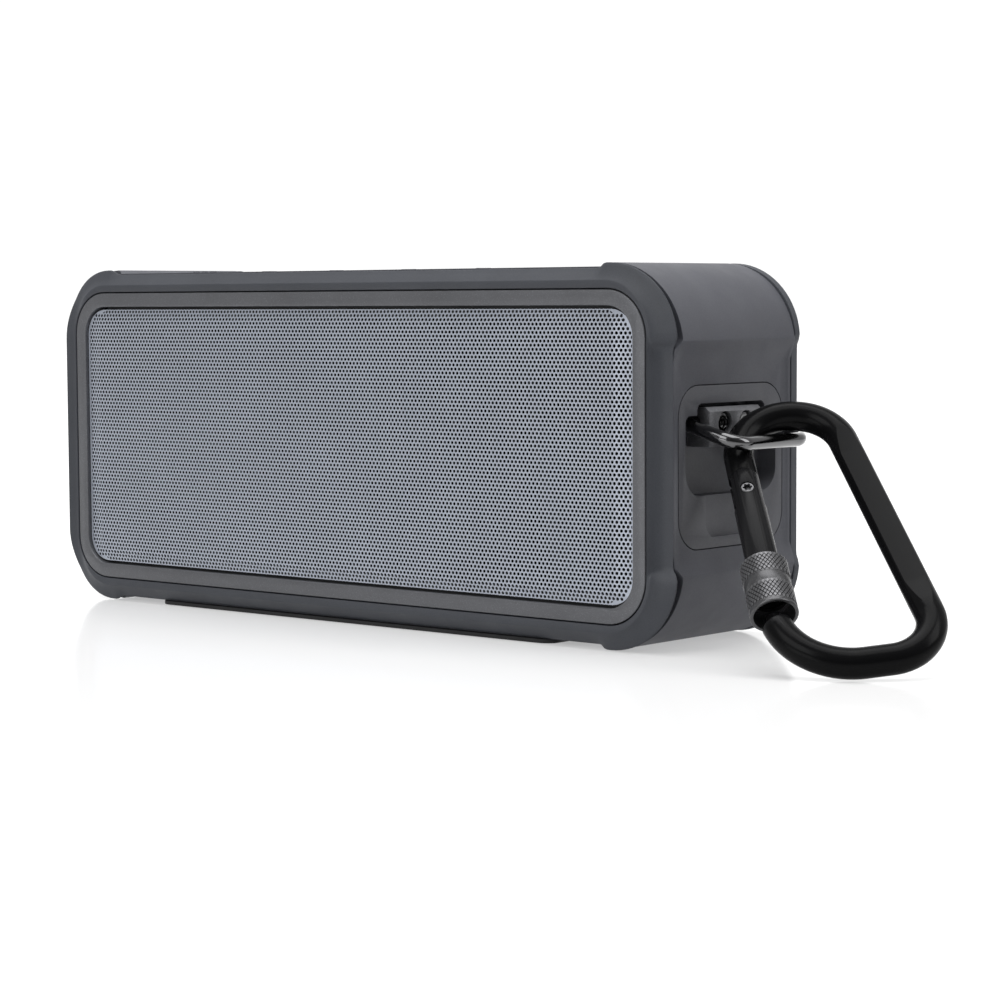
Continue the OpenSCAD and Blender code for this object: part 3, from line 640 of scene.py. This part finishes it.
def perforated_cells():
    """Points, faces and open edges of six-sided cells in rows, each with a round hole."""
    rows = int(HALF_Z / ROW_PITCH)
    columns = int(HALF_X / HOLE_PITCH) + 1
    corners, points, faces, sides = {}, [], [], {}

    def corner(i, j):
        """Corner i half pitches along, on the zigzag under row j."""
        if (i, j) not in corners:
            up = (i + j) % 2 == 1
            corners[i, j] = len(points)
            points.append((i * HOLE_PITCH / 2,
                           (j - 0.5) * ROW_PITCH + (ROW_PITCH / 6 if up else -ROW_PITCH / 6)))
        return corners[i, j]

    for j in range(-rows, rows + 1):
        for c in range(-columns, columns + 1):
            i = 2 * c + (j % 2)
            x, z = i * HOLE_PITCH / 2, j * ROW_PITCH
            if not has_hole(x, z):
                continue
            ring = [corner(i - 1, j), corner(i, j), corner(i + 1, j),
                    corner(i + 1, j + 1), corner(i, j + 1), corner(i - 1, j + 1)]
            angles = [math.atan2(points[k][1] - z, points[k][0] - x) for k in ring]
            first = len(points)
            points += [(x + HOLE_RADIUS * math.cos(a), z + HOLE_RADIUS * math.sin(a)) for a in angles]
            for k in range(6):
                n = (k + 1) % 6
                faces.append((ring[k], ring[n], first + n, first + k))
                sides[(ring[k], ring[n])] = True
    return points, faces, [e for e in sides if (e[1], e[0]) not in sides]


def in_cells(x, z):
    """True where a point lies in a perforated cell."""
    middle = round(z / ROW_PITCH)
    for row in (middle - 1, middle, middle + 1):
        shift = (row % 2) * HOLE_PITCH / 2
        nearest = round((x - shift) / HOLE_PITCH)
        for column in (nearest - 1, nearest, nearest + 1):
            cx, cz = column * HOLE_PITCH + shift, row * ROW_PITCH
            dx, dz = abs(x - cx) / HOLE_PITCH, abs(z - cz) / ROW_PITCH
            if dx <= 0.5001 and 1.5 * dz + dx <= 1.0001 and has_hole(cx, cz):
                return True
    return False


def add_solid_edge(points, faces, open_edges):
    """Fills the strip between the cells and the outline of the sheet."""
    used = sorted({k for e in open_edges for k in e})
    local = {k: n for n, k in enumerate(used)}
    outline = sheet_outline()
    flat = [Vector(points[k]) for k in used] + [Vector(p) for p in outline]
    base = len(used)
    edges = [(local[a], local[b]) for a, b in open_edges]
    edges += [(base + k, base + (k + 1) % len(outline)) for k in range(len(outline))]
    found, _, fills, origins, _, _ = delaunay_2d_cdt(flat, edges, [], 0, 1e-7)
    place = []
    for point, origin in zip(found, origins):
        if origin and origin[0] < base:
            place.append(used[origin[0]])
        else:
            place.append(len(points))
            points.append((point.x, point.y))
    inner = set(used)
    for face in fills:
        ids = [place[k] for k in face]
        cx = sum(points[k][0] for k in ids) / len(ids)
        cz = sum(points[k][1] for k in ids) / len(ids)
        if inner.issuperset(ids) and in_cells(cx, cz):
            continue
        if has_room(cx, cz, 0):
            faces.append(tuple(ids))


def sheet_y(x, z):
    """Front of the sheet, which bends back along its edge."""
    past_x = max(0.0, abs(x) - FLAT_X) / (HALF_X - FLAT_X)
    past_z = max(0.0, abs(z) - FLAT_Z) / (HALF_Z - FLAT_Z)
    bent = min(1.0, math.hypot(past_x, past_z))
    return GRILLE_LOW.y + EDGE_DROP * (1 - (1 - bent) ** EDGE_POWER)


def add_grille():
    """The perforated sheet, in a few pieces side by side, in place of the hidden CAD grille."""
    points, faces, open_edges = perforated_cells()
    add_solid_edge(points, faces, open_edges)
    front = [(x, sheet_y(x, z), MIDDLE + z) for x, z in points]
    seams = np.linspace(-HALF_X, HALF_X, GRILLE_PIECES + 1)
    for n in range(GRILLE_PIECES):
        part = [f for f in faces
                if seams[n] <= sum(points[k][0] for k in f) / len(f) < seams[n + 1]]
        sheet_piece(f"grille_sheet_{n + 1}", front, part)
    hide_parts("front_grille")


def sheet_piece(name, front, faces):
    """Closed sheet from its front faces: the same faces behind, and walls along every open edge."""
    used = sorted({k for f in faces for k in f})
    local = {k: n for n, k in enumerate(used)}
    count = len(used)
    points = [front[k] for k in used] + [(front[k][0], front[k][1] + SHEET, front[k][2]) for k in used]
    flat = [tuple(local[k] for k in f) for f in faces]
    sides = {}
    for f in flat:
        for k in range(len(f)):
            sides[(f[k], f[(k + 1) % len(f)])] = True
    walls = [(b, a, a + count, b + count) for a, b in sides if (b, a) not in sides]
    backs = [tuple(k + count for k in f[::-1]) for f in flat]
    return piece(name, "housing", "grille_paint", points, flat + backs + walls, 30)


# ---------- carabiner ----------

HINGE_U, HINGE_V = -13.2, 21.3       # gate hinge in the plane of the carabiner
ROD, FLAT_HALF = 3.0, 2.0            # rod radius, half thickness across the milled flats
FLATS_FROM, FLATS_TO, FLATS_FADE = 5.0, 41.0, 7.5    # along the spine, and their run-out
ROD_START = (17.3, 14.0)             # first two places of the rod, inside the gate's end
GATE_ROOM, EYE_RADIUS, BORE_RADIUS = 5.5, 2.8, 1.06  # about the gate hinge
TONGUE = (4.8, 2.4, 7)               # width, thickness and length of the tongue that ends in the eye
NOSE_RADIUS, NOSE_LENGTH, NOSE_V = 1.8, 2.7, 54.75
SEAT_RADIUS, SEAT_AT = 1.45, 3.55    # sunk seats of the rivet's heads in the gate
RING_TOP, RING_LOW, RING_TOE = (-2.5, 10.7, 10.7), (6.46, 57.88, 9.0), (1.4, 51.98, 14.9)
LEAN, TOE_END = -8.72, 167.6         # where the bends stop, in degrees
THROUGH = Vector(JOINTS["gate_hinge"]["axis"])
ALONG = Vector(JOINTS["lock_slide"]["axis"])
ACROSS = THROUGH.cross(ALONG)
HINGE_AT = Vector(JOINTS["gate_hinge"]["pos_m"]) / MM
ON_SIDE = Matrix.Rotation(math.pi / 2, 3, "X")       # lays a bar along the hinge's axis


def clip_point(u, n, v):
    """Millimetres of a point given across, through and along the carabiner."""
    return (HINGE_AT + float(u - HINGE_U) * ACROSS + float(n) * THROUGH
            + float(v - HINGE_V) * ALONG)


def clip_matrix(u, n, v, turn=Matrix.Identity(3)):
    """Placement in metres of a solid drawn about its own middle."""
    axes = Matrix((ACROSS, THROUGH, ALONG)).transposed() @ turn
    return Matrix.Translation(clip_point(u, n, v) * MM) @ axes.to_4x4()


def arc_points(ring, start, stop, step):
    """Points on a ring (middle u, middle v, radius), about step degrees apart."""
    count = max(2, int(abs(stop - start) / step))
    return [(ring[0] + ring[2] * math.cos(a), ring[1] + ring[2] * math.sin(a))
            for a in np.radians(np.linspace(start, stop, count))]


def line_points(start, stop, step):
    """Points between two others, about step millimetres apart."""
    count = max(2, int(math.dist(start, stop) / step))
    return [(start[0] + (stop[0] - start[0]) * t, start[1] + (stop[1] - start[1]) * t)
            for t in np.linspace(0, 1, count)][1:-1]


def rod_path():
    """Middle line of the rod, and how far each point lies past the start of the spine."""
    top = arc_points(RING_TOP, 180, 360 + LEAN, 4)
    low = arc_points(RING_LOW, LEAN, 90, 4)
    toe = arc_points(RING_TOE, 90, TOE_END, 4)
    path = [(HINGE_U, v) for v in ROD_START] + top + line_points(top[-1], low[0], 0.8)
    path += low + line_points(low[-1], toe[0], 1.2) + toe
    run = [0.0]
    for a, b in zip(path, path[1:]):
        run.append(run[-1] + math.dist(a, b))
    start = run[len(ROD_START) + len(top) - 1]
    return path, [r - start for r in run]


def rod_section(half):
    """Points round the rod: in its plane and through it, flat at the given half thickness."""
    turn = math.asin(min(half, 0.9985 * ROD) / ROD)
    wide, high = ROD * math.cos(turn), ROD * math.sin(turn)
    points = [(ROD * math.cos(a), ROD * math.sin(a)) for a in np.linspace(-turn, turn, 13)]
    points += [(wide * t, high) for t in (0.5, 0.0, -0.5)]
    points += [(-ROD * math.cos(a), ROD * math.sin(a)) for a in np.linspace(turn, -turn, 13)]
    return points + [(wide * t, -high) for t in (-0.5, 0.0, 0.5)]


def rod_mesh():
    """The bare rod, swept along its path."""
    path, run = rod_path()
    points = []
    for k, (at, place) in enumerate(zip(path, run)):
        before, after = path[max(k - 1, 0)], path[min(k + 1, len(path) - 1)]
        du, dv = after[0] - before[0], after[1] - before[1]
        size = math.hypot(du, dv)
        du, dv = du / size, dv / size
        past = max(FLATS_FROM - place, place - FLATS_TO, 0.0) / FLATS_FADE
        half = FLAT_HALF + (ROD - FLAT_HALF) * min(1.0, past)
        for m, n in rod_section(half):
            points.append(clip_point(at[0] + m * dv, n, at[1] - m * du))
    columns = len(rod_section(ROD))
    faces = ring_faces(len(path), columns)
    last = (len(path) - 1) * columns
    faces += [tuple(range(columns))[::-1], tuple(range(last, last + columns))]
    mesh = bpy.data.meshes.new("carabiner_rod")
    mesh.from_pydata([tuple(p * MM) for p in points], [], faces)
    mesh.validate()
    work = bmesh.new()
    work.from_mesh(mesh)
    bmesh.ops.recalc_face_normals(work, faces=work.faces)
    work.to_mesh(mesh)
    work.free()
    return mesh


def add_carabiner_body():
    """The rod with its nose, and with the tongue and eye that carry the gate."""
    mesh = rod_mesh()
    across_hinge = clip_matrix(HINGE_U, 0, HINGE_V, ON_SIDE)
    hollow = round_bar(GATE_ROOM, 10, across_hinge, 64)
    tongue = block(TONGUE, clip_matrix(HINGE_U, 0, HINGE_V - TONGUE[2] / 2))
    eye = round_bar(EYE_RADIUS, TONGUE[1], across_hinge, 48)
    nose = round_bar(NOSE_RADIUS, NOSE_LENGTH, clip_matrix(HINGE_U, 0, NOSE_V), 32)
    bore = round_bar(BORE_RADIUS, 10, across_hinge, 32)
    mesh = carved(mesh, [("DIFFERENCE", hollow), ("UNION", tongue), ("UNION", eye),
                         ("UNION", nose), ("DIFFERENCE", bore)])
    work = welded(mesh)
    soften(work, 0.2, 26.0)
    settle(work, "carabiner_rod", "carabiner_body", 38.0)


def add_carabiner_gate():
    """The CAD gate with soft edges, and with seats for the rivet's heads."""
    seats = [round_bar(SEAT_RADIUS, 2, clip_matrix(HINGE_U, side * SEAT_AT, HINGE_V, ON_SIDE), 48)
             for side in (-1, 1)]
    mesh = baked(welded(NODES["carabiner_gate"].data), "gate_tube")
    work = welded(carved(mesh, [("DIFFERENCE", seat) for seat in seats]))
    soften(work, 0.22)
    settle(work, "gate_tube", "carabiner_gate")


def turned(profile, columns, place, lobes):
    """Points of a closed profile of (radius, height) turned about an axis; place sets a point in the
    scene, and lobes gives some rows a six-pointed star's share of their radius."""
    points = []
    for row, (radius, height) in enumerate(profile):
        for k in range(columns):
            a = 2 * math.pi * k / columns
            r = radius * (1 + lobes.get(row, 0) * math.cos(6 * a))
            points.append(place(r * math.cos(a), r * math.sin(a), height))
    return points


def add_rivet():
    """Rivet with two rounded heads and a star recess."""
    columns = 48
    profile = [(0.02, -3.12), (0.55, -3.12), (0.72, -3.15), (1.12, -3.12), (1.32, -2.95), (1.32, -2.6),
               (1.0, -2.55), (1.0, 2.55), (1.32, 2.6), (1.32, 2.9), (1.18, 3.1), (0.95, 3.15),
               (0.80, 3.08), (0.66, 2.35), (0.02, 2.25)]
    points = turned(profile, columns, lambda a, b, h: clip_point(HINGE_U + a, h, HINGE_V - b),
                    {12: 0.16, 13: 0.3})
    faces = ring_faces(len(profile), columns, close_rows=True)
    made = piece("rivet_head", body_name("gate_rivet"), "lock_black", points, faces, 35)
    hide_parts("gate_rivet")


LOCK_V = 39.9                        # near end of the lock sleeve, along the carabiner
KNURL_BANDS = ((0.2, 4.75), (7.05, 11.85))
KNURL_RADIUS, KNURL_DEPTH, KNURL_ROOT = 4.7, 0.17, 0.6   # crowns, and the grooves and root below
KNURL_TEETH, KNURL_ROWS = 34, 4
CROWN = 0.74                         # share of a diamond that its flat top takes


def knurl(start, stop):
    """Points and faces of one ring of raised diamonds, closed inside."""
    points, faces, spot = [], [], {}
    pitch = (stop - start) / (2 * KNURL_ROWS)

    def add(i, j, radius):
        a = math.pi * i / KNURL_TEETH
        points.append(clip_point(HINGE_U + radius * math.cos(a), radius * math.sin(a),
                                 LOCK_V + start + pitch * j))
        return len(points) - 1

    def low(i, j):
        i %= 2 * KNURL_TEETH
        if (i, j) not in spot:
            spot[i, j] = add(i, j, KNURL_RADIUS - KNURL_DEPTH)
        return spot[i, j]

    top = 2 * KNURL_ROWS
    for j in range(top + 1):
        for i in range((j + 1) % 2, 2 * KNURL_TEETH, 2):
            around = [(1, 0), (0, 1), (-1, 0), (0, -1)]
            if j in (0, top):
                around = [o for o in around if 0 <= j + o[1] <= top]
                faces.append(tuple(low(i + a, j + b) for a, b in around))
                continue
            rim = [low(i + a, j + b) for a, b in around]
            crown = [add(i + CROWN * a, j + CROWN * b, KNURL_RADIUS) for a, b in around]
            faces.append(tuple(crown))
            faces += [(rim[k], rim[(k + 1) % 4], crown[(k + 1) % 4], crown[k]) for k in range(4)]
    ends = []
    for j in (0, top):
        rim = [low(i, j) for i in range(0, 2 * KNURL_TEETH, 2)]
        ends.append((rim, [add(i, j, KNURL_RADIUS - KNURL_ROOT) for i in range(0, 2 * KNURL_TEETH, 2)]))
    for k in range(KNURL_TEETH):
        n = (k + 1) % KNURL_TEETH
        (low_rim, low_in), (high_rim, high_in) = ends
        faces.append((low_rim[n], low_rim[k], low_in[k], low_in[n]))
        faces.append((high_rim[k], high_rim[n], high_in[n], high_in[k]))
        faces.append((low_in[n], low_in[k], high_in[k], high_in[n]))
    return points, faces


def add_lock_sleeve():
    """Tube with a collar at its far end and two knurled bands."""
    columns = 96
    profile = [(3.27, 0.15), (3.45, 0.0), (4.15, 0.0), (4.38, 0.12), (4.46, 0.3), (4.46, 4.6),
               (4.50, 4.7), (4.50, 7.1), (4.46, 7.2), (4.46, 11.7), (4.58, 11.8), (4.58, 12.1),
               (4.67, 12.2), (4.70, 12.35), (4.70, 12.6), (4.64, 12.74), (4.52, 12.8), (4.14, 12.8),
               (4.04, 12.73), (4.0, 12.6), (4.0, 8.8), (3.27, 8.8)]
    points = turned(profile, columns, lambda a, b, h: clip_point(HINGE_U + a, b, LOCK_V + h), {})
    faces = [f[::-1] for f in ring_faces(len(profile), columns, close_rows=True)]
    for start, stop in KNURL_BANDS:
        more, rings = knurl(start, stop)
        faces += [tuple(k + len(points) for k in f) for f in rings]
        points += more
    made = piece("knurled_sleeve", body_name("lock_sleeve"), "lock_black", points, faces, 28)
    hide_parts("lock_sleeve")


# ---------- scene ----------

SOFT_EDGES = {                       # nodes that only have their edges rounded, by how much
    "front_bezel": 0.25, "end_plate": 0.25, "bail_bracket": 0.3, "rear_cover": 0.3, "port_flap": 0.2,
    "foot_pad": 0.15, "power_key": 0.15, "bluetooth_key": 0.15, "play_key": 0.15,
    "volume_down_key": 0.15, "volume_up_key": 0.15, "bracket_screws": 0.12, "rear_screws": 0.12,
}

add_camera()
add_studio()
add_floor()
for node_name, node in NODES.items():
    node.data.materials.clear()
    node.data.materials.append(FINISHES[SLOT_OF[node_name]])

add_bumper("front_bumper", 1)
add_bumper("rear_bumper", -1)
add_sleeve()
add_grille()
add_carabiner_body()
add_carabiner_gate()
add_rivet()
add_lock_sleeve()
for node_name, edge in SOFT_EDGES.items():
    rounded(node_name, edge)
